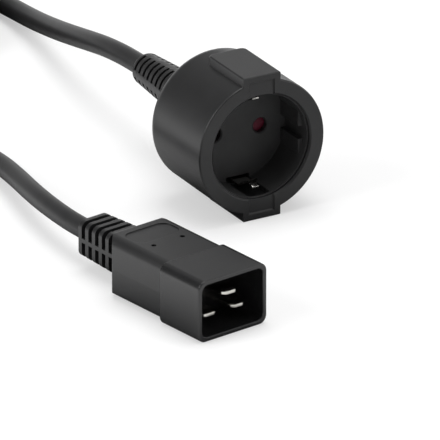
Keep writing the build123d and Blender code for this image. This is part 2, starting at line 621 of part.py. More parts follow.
# The cord's route where it isn't coiled, chosen by hand: from each end's relief to the coil.
SOCKET_ROUTE = [
    (0, SOCKET_LENGTH / 2 - CORD_TUCK, SOCKET_AXIS_Z),
    (0, SOCKET_LENGTH / 2 + CORD_LEAD_OUT, SOCKET_AXIS_Z),
    (2, 70, 23),
    (6.5, 88, 14),
    (11.5, 106, 6.5),
    (14.5, 125, FLOOR_LINE),
    (15, 145, FLOOR_LINE),
    (14.5, 165, FLOOR_LINE),
    (11.5, 184, FLOOR_LINE),
    (4.5, 202, FLOOR_LINE),
    coil_point(COIL_ENTRY_DIRECTION, FLOOR_LINE),
]
PLUG_ROUTE = [
    plug_point(PLUG_LENGTH - PLUG_TUCK),
    plug_point(PLUG_LENGTH + CORD_LEAD_OUT),
    (-73.4, -20.5, 11.2),
    (-71, -1, 9.9),
    (-66.8, 18, 7.8),
    (-63.2, 37.5, 5.6),
    (-63.5, 57, 4.2),
    (-68.5, 76, FLOOR_LINE),
    (-76, 95, FLOOR_LINE),
    (-83.5, 114, 4.2),
    (-89.3, 133.5, 5.2),
    (-92, 153, 7.6),
    coil_point(COIL_EXIT_DIRECTION, COIL_EXIT_HEIGHT),
]
BEND_SHARE = 0.45


def bend_radii(points):
    """The largest bend at each inner point that its two runs allow."""
    radii = []
    for before, here, after in zip(points, points[1:], points[2:]):
        run_in = Vector(*here) - Vector(*before)
        run_out = Vector(*after) - Vector(*here)
        half_turn = math.radians(run_in.get_angle(run_out)) / 2
        radii.append(BEND_SHARE * min(run_in.length, run_out.length) / math.tan(half_turn))
    return radii


def cord_run(points, name):
    """A plain tube along one stretch of the cord."""
    radii = bend_radii(points)
    print(name, "bend radii", [round(radius) for radius in radii])
    path = FilletPolyline(*points, radius=radii)
    tube = sweep(Plane(origin=path @ 0, z_dir=path % 0) * Circle(CORD_DIAMETER / 2), path=path)
    expected = math.pi * (CORD_DIAMETER / 2) ** 2 * path.length
    print(name, "length", round(path.length, 1), "volume share", round(tube.volume / expected, 4))
    return tube


def cord_coil():
    """The outer shape of the coiled cord, a flat ring lying on the floor."""
    outline = Pos(COIL_MEAN_DIAMETER / 2, COIL_HEIGHT / 2) * RectangleRounded(
        COIL_WIDTH, COIL_HEIGHT, CORD_DIAMETER / 2 - COIL_EDGE_FLAT)
    ring = revolve(Plane.XZ * outline, Axis.Z)
    return Pos(COIL_X, COIL_Y, 0) * ring


def coil_tie():
    """The strap round the coil: a closed band that stands on the floor, with its tail lying on top."""
    mean = COIL_MEAN_DIAMETER / 2
    corner = CORD_DIAMETER / 2
    outer = Pos(mean, COIL_HEIGHT / 2) * RectangleRounded(
        COIL_WIDTH + 2 * TIE_THICKNESS, COIL_HEIGHT + 2 * TIE_THICKNESS, corner + TIE_THICKNESS)
    outer -= Pos(mean, -TIE_THICKNESS) * Rectangle(2 * COIL_WIDTH, 2 * TIE_THICKNESS)
    inner_height = COIL_HEIGHT - TIE_THICKNESS
    inner = Pos(mean, TIE_THICKNESS + inner_height / 2) * RectangleRounded(COIL_WIDTH, inner_height, corner)
    tail = Pos(mean, COIL_HEIGHT + 1.5 * TIE_THICKNESS) * Rectangle(TIE_TAIL_LENGTH, TIE_THICKNESS)
    strap = extrude(Plane.XZ * (outer - inner + tail), TIE_WIDTH / 2, both=True)
    return Location((COIL_X, COIL_Y, 0), (0, 0, TIE_DIRECTION)) * strap


def build():
    """Every node of the part by name."""
    nodes = {
        "socket_housing": in_socket(socket_housing()),
        "socket_insert": in_socket(socket_insert()),
        "shutter": in_socket(shutter()),
        "shutter_spring": in_socket(leaf_spring()),
        "contact_carrier": in_socket(contact_carrier()),
        "line_contact": in_socket(sleeve_contact(PIN_SPACING / 2)),
        "neutral_contact": in_socket(sleeve_contact(-PIN_SPACING / 2)),
        "earth_bracket": in_socket(earth_bracket()),
        "cord_socket_run": cord_run(SOCKET_ROUTE, "socket run"),
        "cord_coil": cord_coil(),
        "coil_tie": coil_tie(),
        "cord_plug_run": cord_run(PLUG_ROUTE, "plug run"),
        "plug_housing": in_plug(plug_housing()),
        "plug_shroud": in_plug(plug_shroud()),
    }
    for name, wire in socket_cores().items():
        nodes["socket_" + name + "_core"] = in_socket(wire)
    for name, wire in plug_cores().items():
        nodes["plug_" + name + "_core"] = in_plug(wire)
    for name, (x, z) in BLADES.items():
        set_back = EARTH_BLADE_SET_BACK if name == "earth" else POWER_BLADE_SET_BACK
        nodes[name + "_blade"] = in_plug(blade(x, z, set_back))
    return nodes


os.makedirs("parts", exist_ok=True)
for node, solid in build().items():
    export_step(solid, "parts/" + node + ".step")
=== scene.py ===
"""Looks of a power cord: a round earthed socket, a flat-pin appliance plug and the cord between them.

Places and sizes are in metres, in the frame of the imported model; values in millimetres are multiplied by MM.
"""

import logging
import math
from collections.abc import Callable
from dataclasses import dataclass, field
from enum import Enum

import bmesh
import bpy
from mathutils import Matrix, Vector


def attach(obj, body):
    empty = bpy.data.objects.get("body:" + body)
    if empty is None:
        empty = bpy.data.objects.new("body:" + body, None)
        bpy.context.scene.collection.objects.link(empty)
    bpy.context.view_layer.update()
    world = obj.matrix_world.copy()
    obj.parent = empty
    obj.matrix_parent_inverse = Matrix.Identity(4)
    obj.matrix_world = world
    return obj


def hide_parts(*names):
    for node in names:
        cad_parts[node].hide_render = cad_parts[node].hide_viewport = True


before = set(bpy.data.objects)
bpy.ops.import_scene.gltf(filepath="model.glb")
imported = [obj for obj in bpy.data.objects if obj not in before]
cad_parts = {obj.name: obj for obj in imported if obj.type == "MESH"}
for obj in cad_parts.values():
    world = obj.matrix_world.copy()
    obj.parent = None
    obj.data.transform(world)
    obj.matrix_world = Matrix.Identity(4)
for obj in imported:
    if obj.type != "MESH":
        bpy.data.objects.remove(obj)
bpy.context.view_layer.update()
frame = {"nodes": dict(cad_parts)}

MM = 0.001
FULL_TURN = 360.0
MIX_FIRST = 6
MIX_SECOND = 7
MIX_RESULT = 2
EDGE_SAMPLES = 6
FLOOR_SAMPLES = 8
LOG = logging.getLogger("power_cord")

Colour = tuple[float, float, float]
Point = tuple[float, float, float]


class Ray(Enum):
    """Kinds of light ray that the studio tells apart."""

    CAMERA = "Is Camera Ray"
    GLOSSY = "Is Glossy Ray"
    TRANSMISSION = "Is Transmission Ray"


class NodeSheet:
    """A material's or world's node tree, with short calls for the nodes that the finishes use."""

    def __init__(self, tree: bpy.types.NodeTree) -> None:
        """Start with an empty tree.

        Args:
            tree: the node tree to fill.
        """
        self.tree = tree
        tree.nodes.clear()

    def node(self, kind: str, **values: object) -> bpy.types.Node:
        """Add a node.

        Args:
            kind: the node's type, without the ShaderNode prefix.
            values: attributes to set on the node.

        Returns:
            The new node.
        """
        made = self.tree.nodes.new("ShaderNode" + kind)
        for name, value in values.items():
            setattr(made, name, value)
        return made

    def link(self, source: bpy.types.NodeSocket, target: bpy.types.NodeSocket) -> None:
        """Join an output, source, to an input, target."""
        self.tree.links.new(source, target)

    def place(self) -> bpy.types.NodeSocket:
        """Return the object coordinates, which are the frame's own because each piece sits at the origin."""
        return self.node("TexCoord").outputs["Object"]

    def stretched(self, place: bpy.types.NodeSocket, scale: Point, turn: float = 0.0) -> bpy.types.NodeSocket:
        """Scale and turn the coordinates.

        Args:
            place: the coordinates to change.
            scale: the factor along each axis.
            turn: the angle about Z, in degrees.

        Returns:
            The changed coordinates.
        """
        mapping = self.node("Mapping")
        mapping.inputs["Scale"].default_value = scale
        mapping.inputs["Rotation"].default_value = (0.0, 0.0, math.radians(turn))
        self.link(place, mapping.inputs["Vector"])
        return mapping.outputs["Vector"]

    def noise(self, place: bpy.types.NodeSocket, size: float, detail: float = 2.0,
              roughness: float = 0.5) -> bpy.types.NodeSocket:
        """Add a noise pattern.

        Args:
            place: the coordinates to read.
            size: the size of its blotches, in metres.
            detail: how many finer layers it has.
            roughness: how strong the finer layers are.

        Returns:
            The pattern, from 0 to 1.
        """
        pattern = self.node("TexNoise")
        pattern.inputs["Scale"].default_value = 1.0 / size
        pattern.inputs["Detail"].default_value = detail
        pattern.inputs["Roughness"].default_value = roughness
        self.link(place, pattern.inputs["Vector"])
        return pattern.outputs["Fac"]

    def spread(self, value: bpy.types.NodeSocket, low: float, high: float,
               soft: float = 0.2) -> bpy.types.NodeSocket:
        """Map a pattern to a range of values.

        Args:
            value: the pattern, about 0.5 in its middle.
            low: the value where the pattern is at its lowest.
            high: the value where it is at its highest.
            soft: how far from its middle the pattern still changes.

        Returns:
            The mapped value.
        """
        mapped = self.node("MapRange")
        mapped.inputs["From Min"].default_value = 0.5 - soft
        mapped.inputs["From Max"].default_value = 0.5 + soft
        mapped.inputs["To Min"].default_value = low
        mapped.inputs["To Max"].default_value = high
        self.link(value, mapped.inputs["Value"])
        return mapped.outputs["Result"]

    def tint(self, share: bpy.types.NodeSocket, first: Colour, second: Colour) -> bpy.types.NodeSocket:
        """Mix two colours.

        Args:
            share: the share of the second colour.
            first: the colour at 0.
            second: the colour at 1.

        Returns:
            The mixed colour.
        """
        mixed = self.node("Mix", data_type="RGBA")
        mixed.inputs[MIX_FIRST].default_value = (*first, 1.0)
        mixed.inputs[MIX_SECOND].default_value = (*second, 1.0)
        self.link(share, mixed.inputs["Factor"])
        return mixed.outputs[MIX_RESULT]

    def weighed(self, start: float, terms: list[tuple[bpy.types.NodeSocket, float]], low: float = 0.0,
                high: float = 10.0) -> bpy.types.NodeSocket:
        """Add up values, each times a weight.

        Args:
            start: the value to start from.
            terms: each value and its weight.
            low: the least result.
            high: the greatest result.

        Returns:
            The sum, kept between its limits.
        """
        total = None
        for value, weight in terms:
            step = self.node("Math", operation="MULTIPLY_ADD")
            self.link(value, step.inputs[0])
            step.inputs[1].default_value = weight
            step.inputs[2].default_value = start
            if total is not None:
                self.link(total, step.inputs[2])
            total = step.outputs[0]
        kept = self.node("Clamp")
        kept.inputs["Min"].default_value = low
        kept.inputs["Max"].default_value = high
        self.link(total, kept.inputs["Value"])
        return kept.outputs[0]

    def product(self, first: bpy.types.NodeSocket, second: bpy.types.NodeSocket) -> bpy.types.NodeSocket:
        """Multiply two values.

        Args:
            first: the one value.
            second: the other value.

        Returns:
            The product.
        """
        step = self.node("Math", operation="MULTIPLY")
        self.link(first, step.inputs[0])
        self.link(second, step.inputs[1])
        return step.outputs[0]

    def bumps(self, layers: list[tuple[bpy.types.NodeSocket, float]], edge: float) -> bpy.types.NodeSocket:
        """Stack bump layers on edges that look rounded.

        Args:
            layers: each layer's pattern and its height in metres.
            edge: the radius of the rounding, in metres.

        Returns:
            The bent normal.
        """
        rounded = self.node("Bevel", samples=EDGE_SAMPLES)
        rounded.inputs["Radius"].default_value = edge
        normal = rounded.outputs["Normal"]
        for pattern, height in layers:
            bump = self.node("Bump")
            bump.inputs["Distance"].default_value = height
            self.link(pattern, bump.inputs["Height"])
            self.link(normal, bump.inputs["Normal"])
            normal = bump.outputs["Normal"]
        return normal

    def surface(self, shader: bpy.types.NodeSocket, kind: str = "OutputMaterial") -> None:
        """Send a shader to the tree's output."""
        self.link(shader, self.node(kind).inputs["Surface"])


def new_material(name: str) -> tuple[bpy.types.Material, NodeSheet, bpy.types.Node]:
    """Make a material with a Principled shader.

    Args:
        name: the material's name.

    Returns:
        The material, its node sheet and the shader.
    """
    material = bpy.data.materials.new(name)
    material.use_nodes = True
    sheet = NodeSheet(material.node_tree)
    shader = sheet.node("BsdfPrincipled")
    sheet.surface(shader.outputs["BSDF"])
    return material, sheet, shader


@dataclass(frozen=True)
class Plastic:
    """A moulded or extruded plastic with a fine grain, slow unevenness and a little polish from handling."""

    name: str
    colour: Colour
    roughness: float
    grain: float
    grain_height: float
    wave: float = 9.0
    wave_height: float = 0.03
    patchy: float = 0.12
    gloss_patchy: float = 0.06
    specular: float = 0.5
    edge: float = 0.15

    def material(self) -> bpy.types.Material:
        """Build the material.

        Returns:
            The material.
        """
        material, sheet, shader = new_material(self.name)
        place = sheet.place()
        slow = sheet.noise(place, self.wave * MM, detail=3.0)
        fine = sheet.noise(place, self.grain * MM, detail=2.0, roughness=0.6)
        dark = tuple(channel * (1.0 - self.patchy) for channel in self.colour)
        light = tuple(channel * (1.0 + self.patchy) for channel in self.colour)
        sheet.link(sheet.tint(sheet.spread(slow, 0.0, 1.0), dark, light), shader.inputs["Base Color"])
        gloss = sheet.spread(fine, self.roughness - self.gloss_patchy, self.roughness + self.gloss_patchy)
        sheet.link(gloss, shader.inputs["Roughness"])
        layers = [(slow, self.wave_height * MM), (fine, self.grain_height * MM)]
        normal = sheet.bumps(layers, self.edge * MM)
        sheet.link(normal, shader.inputs["Normal"])
        shader.inputs["Specular IOR Level"].default_value = self.specular
        return material


@dataclass(frozen=True)
class Metal:
    """A stamped or drawn metal with fine lines along one axis."""

    name: str
    colour: Colour
    roughness: float
    line: Point = (1.0, 0.08, 1.0)
    turn: float = 0.0
    line_size: float = 0.12
    line_height: float = 0.004
    edge: float = 0.2
    cloud: float = 3.0
    dull_share: float = 0.82
    smoothest: float = 0.7
    roughest: float = 1.5

    def material(self) -> bpy.types.Material:
        """Build the material.

        Returns:
            The material.
        """
        material, sheet, shader = new_material(self.name)
        place = sheet.place()
        lines = sheet.noise(sheet.stretched(place, self.line, self.turn), self.line_size * MM, detail=3.0)
        cloud = sheet.noise(place, self.cloud * MM)
        dull = tuple(channel * self.dull_share for channel in self.colour)
        sheet.link(sheet.tint(sheet.spread(cloud, 0.0, 1.0), dull, self.colour), shader.inputs["Base Color"])
        gloss = sheet.spread(lines, self.roughness * self.smoothest, self.roughness * self.roughest)
        sheet.link(gloss, shader.inputs["Roughness"])
        sheet.link(sheet.bumps([(lines, self.line_height * MM)], self.edge * MM), shader.inputs["Normal"])
        shader.inputs["Metallic"].default_value = 1.0
        return material


@dataclass(frozen=True)
class StripedInsulation:
    """Core insulation in one colour with a stripe of another."""

    name: str
    colour: Colour
    stripe: Colour
    roughness: float = 0.4
    stripe_pitch: float = 7.0
    stripe_soft: float = 0.03
    grain: float = 0.3
    grain_height: float = 0.005
    gloss_patchy: float = 0.05
    edge: float = 0.1

    def material(self) -> bpy.types.Material:
        """Build the material.

        Returns:
            The material.
        """
        material, sheet, shader = new_material(self.name)
        place = sheet.place()
        wave = sheet.node("TexWave", wave_type="BANDS", bands_direction="DIAGONAL")
        wave.inputs["Scale"].default_value = 1.0 / (self.stripe_pitch * MM)
        sheet.link(place, wave.inputs["Vector"])
        band = sheet.spread(wave.outputs["Fac"], 0.0, 1.0, soft=self.stripe_soft)
        sheet.link(sheet.tint(band, self.colour, self.stripe), shader.inputs["Base Color"])
        fine = sheet.noise(place, self.grain * MM)
        gloss = sheet.spread(fine, self.roughness - self.gloss_patchy, self.roughness + self.gloss_patchy)
        sheet.link(gloss, shader.inputs["Roughness"])
        sheet.link(sheet.bumps([(fine, self.grain_height * MM)], self.edge * MM), shader.inputs["Normal"])
        return material


@dataclass(frozen=True)
class StrapCloth:
    """Woven hook and loop strap."""

    name: str
    colour: Colour
    thread: float = 0.45
    thread_height: float = 0.1
    fuzz: float = 0.35
    fuzz_height: float = 0.06
    light_share: float = 2.2
    edge: float = 0.3
    roughness: float = 0.85
    sheen: float = 0.35

    def material(self) -> bpy.types.Material:
        """Build the material.

        Returns:
            The material.
        """
        material, sheet, shader = new_material(self.name)
        place = sheet.place()
        fuzz = sheet.noise(place, self.fuzz * MM, detail=4.0, roughness=0.7)
        threads = sheet.node("TexVoronoi")
        threads.inputs["Scale"].default_value = 1.0 / (self.thread * MM)
        sheet.link(place, threads.inputs["Vector"])
        light = tuple(channel * self.light_share for channel in self.colour)
        sheet.link(sheet.tint(sheet.spread(fuzz, 0.0, 1.0), self.colour, light), shader.inputs["Base Color"])
        layers = [(threads.outputs["Distance"], self.thread_height * MM), (fuzz, self.fuzz_height * MM)]
        sheet.link(sheet.bumps(layers, self.edge * MM), shader.inputs["Normal"])
        shader.inputs["Roughness"].default_value = self.roughness
        shader.inputs["Sheen Weight"].default_value = self.sheen
        return material


Finish = Plastic | Metal | StripedInsulation | StrapCloth

SOFT_BLACK = Plastic("soft_black_moulding", (0.012, 0.012, 0.0125), 0.34, grain=0.3, grain_height=0.003,
                     wave_height=0.012, gloss_patchy=0.04, specular=0.42)
HARD_BLACK = Plastic("hard_black_moulding", (0.011, 0.011, 0.0115), 0.2, grain=0.6, grain_height=0.0012,
                     wave=14.0, wave_height=0.008, gloss_patchy=0.03, specular=0.45)
INSERT_BLACK = Plastic("insert_black", (0.036, 0.036, 0.0365), 0.5, grain=0.4, grain_height=0.002,
                       wave=12.0, wave_height=0.008, gloss_patchy=0.04, specular=0.2)
SHEATH = Plastic("cord_sheath", (0.018, 0.018, 0.0185), 0.42, grain=0.35, grain_height=0.002, wave=5.0,
                 wave_height=0.012, gloss_patchy=0.04, specular=0.3)
CARRIER_GREY = Plastic("carrier_grey", (0.15, 0.15, 0.155), 0.5, grain=0.3, grain_height=0.006)
SHUTTER_RED = Plastic("shutter_red", (0.10, 0.006, 0.02), 0.38, grain=0.4, grain_height=0.004, specular=0.3)
CORE_BROWN = Plastic("core_brown", (0.13, 0.05, 0.025), 0.38, grain=0.3, grain_height=0.004)
CORE_BLUE = Plastic("core_blue", (0.02, 0.09, 0.36), 0.38, grain=0.3, grain_height=0.004)
CORE_EARTH = StripedInsulation("core_green_yellow", (0.03, 0.22, 0.03), (0.75, 0.60, 0.03))
NICKEL = Metal("nickelled_brass", (0.60, 0.585, 0.55), 0.13, line_height=0.001)
DULL_NICKEL = Metal("dull_nickel", (0.42, 0.41, 0.39), 0.16, line_height=0.001, edge=0.35)
BRASS = Metal("bare_brass", (0.78, 0.58, 0.28), 0.3)
SPRING_STEEL = Metal("spring_steel", (0.55, 0.55, 0.56), 0.22, line=(0.1, 1.0, 0.1))
STRAP = StrapCloth("strap_cloth", (0.012, 0.012, 0.013))


class Side(Enum):
    """The two ends of the cord, as the model's node names begin."""

    SOCKET = "socket"
    PLUG = "plug"


@dataclass
class Workshop:
    """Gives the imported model's nodes their finishes, making each material once."""

    nodes: dict[str, bpy.types.Object]
    made: dict[str, bpy.types.Material] = field(default_factory=dict)

    def finish(self, finish: Finish) -> bpy.types.Material:
        """Return a finish's material, built on its first use.

        Args:
            finish: the finish.

        Returns:
            The material.
        """
        if finish.name not in self.made:
            self.made[finish.name] = finish.material()
        return self.made[finish.name]

    def dress(self, finish: Finish, *names: str) -> None:
        """Give nodes a finish.

        Args:
            finish: the finish.
            names: the nodes.
        """
        for name in names:
            slots = self.nodes[name].data.materials
            slots.clear()
            slots.append(self.finish(finish))
            LOG.info("%s is finished in %s", name, finish.name)


@dataclass
class RoundedCopy:
    """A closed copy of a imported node, which stands for it and may have rounder edges."""

    workshop: Workshop
    node: str
    name: str
    body: str = "cord_set"
    same_place: float = 0.001 * MM
    flat_within: float = 1.0
    smooth_within: float = 34.0

    def merged(self) -> bmesh.types.BMesh:
        """Join the node's loose triangles and make its flat faces whole.

        Returns:
            The joined mesh, apart from the node's own.
        """
        form = bmesh.new()
        form.from_mesh(self.workshop.nodes[self.node].data)
        bmesh.ops.remove_doubles(form, verts=form.verts, dist=self.same_place)
        bmesh.ops.dissolve_limit(form, angle_limit=math.radians(self.flat_within), verts=form.verts,
                                 edges=form.edges)
        return form

    def rounded(self, form: bmesh.types.BMesh, offset: float, wanted: Callable[[Vector], bool],
                steps: int = 3, least_angle: float = 40.0) -> None:
        """Round the sharp edges whose two ends are wanted.

        Args:
            form: the mesh to change.
            offset: how far the rounding reaches from the edge.
            wanted: says whether a place belongs to the edges to round.
            steps: the faces across the rounding.
            least_angle: the least angle between an edge's faces, in degrees.
        """
        edges = [edge for edge in form.edges
                 if len(edge.link_faces) == 2 and edge.calc_face_angle(0.0) > math.radians(least_angle)
                 and all(wanted(corner.co) for corner in edge.verts)]
        bmesh.ops.bevel(form, geom=edges, offset=offset, offset_type="OFFSET", segments=steps, profile=0.5,
                        affect="EDGES", clamp_overlap=True, material=-1)

    def finished(self, form: bmesh.types.BMesh, finish: Finish) -> bpy.types.Object:
        """Turn the mesh into a piece that stands for the node.

        Args:
            form: the finished mesh.
            finish: the piece's finish.

        Returns:
            The piece.
        """
        bmesh.ops.recalc_face_normals(form, faces=form.faces)
        for face in form.faces:
            face.smooth = True
        mesh = bpy.data.meshes.new(self.name)
        form.to_mesh(mesh)
        form.free()
        mesh.set_sharp_from_angle(angle=math.radians(self.smooth_within))
        mesh.materials.append(self.workshop.finish(finish))
        piece = bpy.data.objects.new(self.name, mesh)
        bpy.context.scene.collection.objects.link(piece)
        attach(piece, self.body)
        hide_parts(self.node)
        LOG.info("%s stands for %s", self.name, self.node)
        return piece


@dataclass
class Blade:
    """A flat blade of the plug with a tip that is rounded all round."""

    workshop: Workshop
    node: str
    heading: float = 9.0
    tip_reach: float = 2.9 * MM
    tip_rounding: float = 0.45 * MM
    nose_stretch: float = 1.5

    def along(self, place: Vector) -> float:
        """Return how far a place lies from the plug's mouth along the plug."""
        turn = math.radians(self.heading)
        return math.cos(turn) * place.y - math.sin(turn) * place.x

    def build(self) -> bpy.types.Object:
        """Make the blade's rounded copy.

        Returns:
            The copy, which stands for the blade.
        """
        copy = RoundedCopy(self.workshop, self.node, "rounded_" + self.node)
        form = copy.merged()
        tip = min(self.along(corner.co) for corner in form.verts)
        nose = [corner for corner in form.verts if self.along(corner.co) < tip + self.tip_reach]
        turn = Matrix.Rotation(math.radians(self.heading), 4, "Z")
        turned = Matrix.Translation(turn @ Vector((0.0, tip, 0.0))) @ turn
        bmesh.ops.scale(form, vec=(1.0, self.nose_stretch, 1.0), space=turned.inverted(), verts=nose)
        nose_end = tip + self.tip_reach * self.nose_stretch
        copy.rounded(form, self.tip_rounding, lambda place: self.along(place) < nose_end)
        return copy.finished(form, NICKEL)


@dataclass
class EarthClips:
    """The earth bracket with the ends of its two clips narrowed to round noses, as stamped clips are."""

    workshop: Workshop
    node: str = "earth_bracket"
    nose_from: float = -31.0 * MM
    nose_full: float = -34.0 * MM
    nose_share: float = 0.45
    corner_rounding: float = 0.3 * MM

    def build(self) -> None:
        """Make the bracket's copy with narrowed noses."""
        copy = RoundedCopy(self.workshop, self.node, "earth_clips")
        form = copy.merged()
        for start in (self.nose_from, self.nose_full):
            everything = list(form.verts) + list(form.edges) + list(form.faces)
            bmesh.ops.bisect_plane(form, geom=everything, plane_co=(0.0, start, 0.0),
                                   plane_no=(0.0, 1.0, 0.0))
        nose = [corner for corner in form.verts if corner.co.y < self.nose_full + copy.same_place]
        bmesh.ops.scale(form, vec=(self.nose_share, 1.0, 1.0), verts=nose)
        copy.rounded(form, self.corner_rounding, lambda place: place.y < self.nose_from, steps=2)
        copy.finished(form, DULL_NICKEL)


@dataclass
class SocketEnd:
    """The round earthed socket with its contacts and shutter."""

    workshop: Workshop

    def build(self) -> None:
        """Dress the socket's pieces and make its earth clips."""
        self.workshop.dress(SOFT_BLACK, "socket_housing")
        self.workshop.dress(INSERT_BLACK, "socket_insert")
        self.workshop.dress(CARRIER_GREY, "contact_carrier")
        self.workshop.dress(SHUTTER_RED, "shutter")
        self.workshop.dress(SPRING_STEEL, "shutter_spring")
        self.workshop.dress(BRASS, "line_contact", "neutral_contact")
        EarthClips(self.workshop).build()


@dataclass
class PlugEnd:
    """The appliance plug with its shroud and three flat blades."""

    workshop: Workshop
    blades: tuple[str, ...] = ("line_blade", "neutral_blade", "earth_blade")

    def build(self) -> list[bpy.types.Object]:
        """Dress the plug's pieces and make its blades.

        Returns:
            The blades.
        """
        self.workshop.dress(SOFT_BLACK, "plug_housing")
        self.workshop.dress(HARD_BLACK, "plug_shroud")
        return [Blade(self.workshop, blade).build() for blade in self.blades]


@dataclass
class Cores:
    """The insulated cores inside both ends."""

    workshop: Workshop

    def build(self) -> None:
        """Dress the cores in the colours of line, neutral and earth."""
        for side in Side:
            self.workshop.dress(CORE_BROWN, side.value + "_line_core")
            self.workshop.dress(CORE_BLUE, side.value + "_neutral_core")
            self.workshop.dress(CORE_EARTH, side.value + "_earth_core")


SOCKET_ROUTE: list[Point] = [
    (0.0, 0.02985, 0.028),
    (0.0, 0.0495, 0.028),
    (0.0005, 0.070, 0.0258),
    (0.0022, 0.088, 0.0216),
    (0.0048, 0.106, 0.0168),
    (0.008, 0.125, 0.0118),
    (0.0112, 0.145, 0.0072),
    (0.013, 0.165, 0.0044),
    (0.0115, 0.184, 0.0038),
    (0.0045, 0.202, 0.0038),
]
PLUG_ROUTE: list[Point] = [
    (-0.09247, 0.17127, 0.0104),
    (-0.092, 0.153, 0.0076),
    (-0.0893, 0.1335, 0.0052),
    (-0.0835, 0.114, 0.0042),
    (-0.076, 0.095, 0.0038),
    (-0.0685, 0.076, 0.0038),
    (-0.0635, 0.057, 0.0042),
    (-0.0632, 0.0375, 0.0056),
    (-0.0668, 0.018, 0.0078),
    (-0.071, -0.001, 0.0099),
    (-0.0734, -0.0205, 0.0112),
    (-0.07353, -0.03956, 0.0117),
    (-0.07067, -0.05764, 0.0117),
]


@dataclass
class Coil:
    """The turns of the spare length: three wide and two high, wound inwards below and outwards on top."""

    centre: tuple[float, float] = (-0.0445, 0.1835)
    mean_radius: float = 40.0 * MM
    cord: float = 7.6 * MM
    points_per_turn: int = 16
    start: float = 52.0
    end: float = 180.0
    shift: float = 45.0
    shift_out_from: float = 200.0
    rise_from: float = 250.0
    shift_in_from: float = 300.0
    turns: int = 5
    turns_inwards: tuple[int, ...] = (0, 1)
    turns_outwards: tuple[int, ...] = (3, 4)
    turn_of_rise: int = 2

    def stepped(self, angle: float, begins: float) -> float:
        """Return how far a smooth step of one shift has gone at an angle.

        Args:
            angle: the angle run through, in degrees.
            begins: the angle where the step begins.

        Returns:
            A share from 0 to 1.
        """
        share = min(max((angle - begins) / self.shift, 0.0), 1.0)
        return share * share * (3.0 - 2.0 * share)

    def place(self, angle: float) -> Point:
        """Return the cord's place after it has been wound through an angle.

        Args:
            angle: the angle from +X, in degrees, counted on through the turns.

        Returns:
            The point, with its radius raised so that the curve between such points has the true one.
        """
        inwards = sum(self.stepped(angle, self.shift_in_from + FULL_TURN * turn)
                      for turn in self.turns_inwards)
        outwards = sum(self.stepped(angle, self.shift_out_from + FULL_TURN * turn)
                       for turn in self.turns_outwards)
        rise = self.stepped(angle, self.rise_from + FULL_TURN * self.turn_of_rise)
        radius = self.mean_radius + self.cord * (1.0 - inwards + outwards)
        radius /= math.cos(math.pi / self.points_per_turn)
        turn = math.radians(angle)
        x = self.centre[0] + radius * math.cos(turn)
        y = self.centre[1] + radius * math.sin(turn)
        return (x, y, self.cord * (0.5 + rise))

    def points(self) -> list[Point]:
        """List the points of all turns.

        Returns:
            The points, from the socket's side to the plug's.
        """
        last = self.end + FULL_TURN * self.turns
        step = FULL_TURN / self.points_per_turn
        count = round((last - self.start) / step)
        return [self.place(self.start + (last - self.start) * index / count) for index in range(count)]


@dataclass
class Cord:
    """The free cord from the socket's relief, through the coil, to the plug's relief."""

    workshop: Workshop
    diameter: float = 7.6 * MM
    length: float = 1.8
    exit: Point = (0.0, 0.042, 0.028)
    round_steps: int = 12
    along_steps: int = 6
    on_cord: tuple[str, ...] = ("plug_housing", "plug_shroud", "plug_line_core", "plug_neutral_core",
                                "plug_earth_core", "coil_tie")

    def curve(self) -> bpy.types.Object:
        """Build the cord as one smooth round curve through its route.

        Returns:
            The cord, not yet dressed.
        """
        points = SOCKET_ROUTE + Coil().points() + PLUG_ROUTE
        data = bpy.data.curves.new("cord", "CURVE")
        data.dimensions = "3D"
        spline = data.splines.new("NURBS")
        spline.points.add(len(points) - 1)
        for control, point in zip(spline.points, points):
            control.co = (*point, 1.0)
        spline.order_u = 3
        spline.use_endpoint_u = True
        spline.resolution_u = self.along_steps
        data.bevel_depth = self.diameter / 2.0
        data.bevel_resolution = self.round_steps
        data.use_fill_caps = True
        cord = bpy.data.objects.new("cord", data)
        bpy.context.scene.collection.objects.link(cord)
        return cord

    def build(self, blades: list[bpy.types.Object]) -> None:
        """Args:
            blades: the plug's blades, which are on the cord too; not used.
        """
        cord = self.curve()
        cord.data.materials.append(self.workshop.finish(SHEATH))
        self.workshop.dress(STRAP, "coil_tie")
        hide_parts("cord_socket_run", "cord_coil", "cord_plug_run")
        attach(cord, "cord_set")
        LOG.info("cord runs from the socket to the plug")


@dataclass(frozen=True)
class Lamp:
    """One soft box: a square area lamp aimed at the object."""

    name: str
    place: Point
    size: float
    power: float

    def build(self, target: Vector) -> None:
        """Hang the lamp.

        Args:
            target: the point that it is aimed at.
        """
        data = bpy.data.lights.new(self.name, "AREA")
        data.energy = self.power
        data.size = self.size
        lamp = bpy.data.objects.new(self.name, data)
        lamp.location = self.place
        lamp.rotation_euler = (target - Vector(self.place)).to_track_quat("-Z", "Y").to_euler()
        bpy.context.scene.collection.objects.link(lamp)


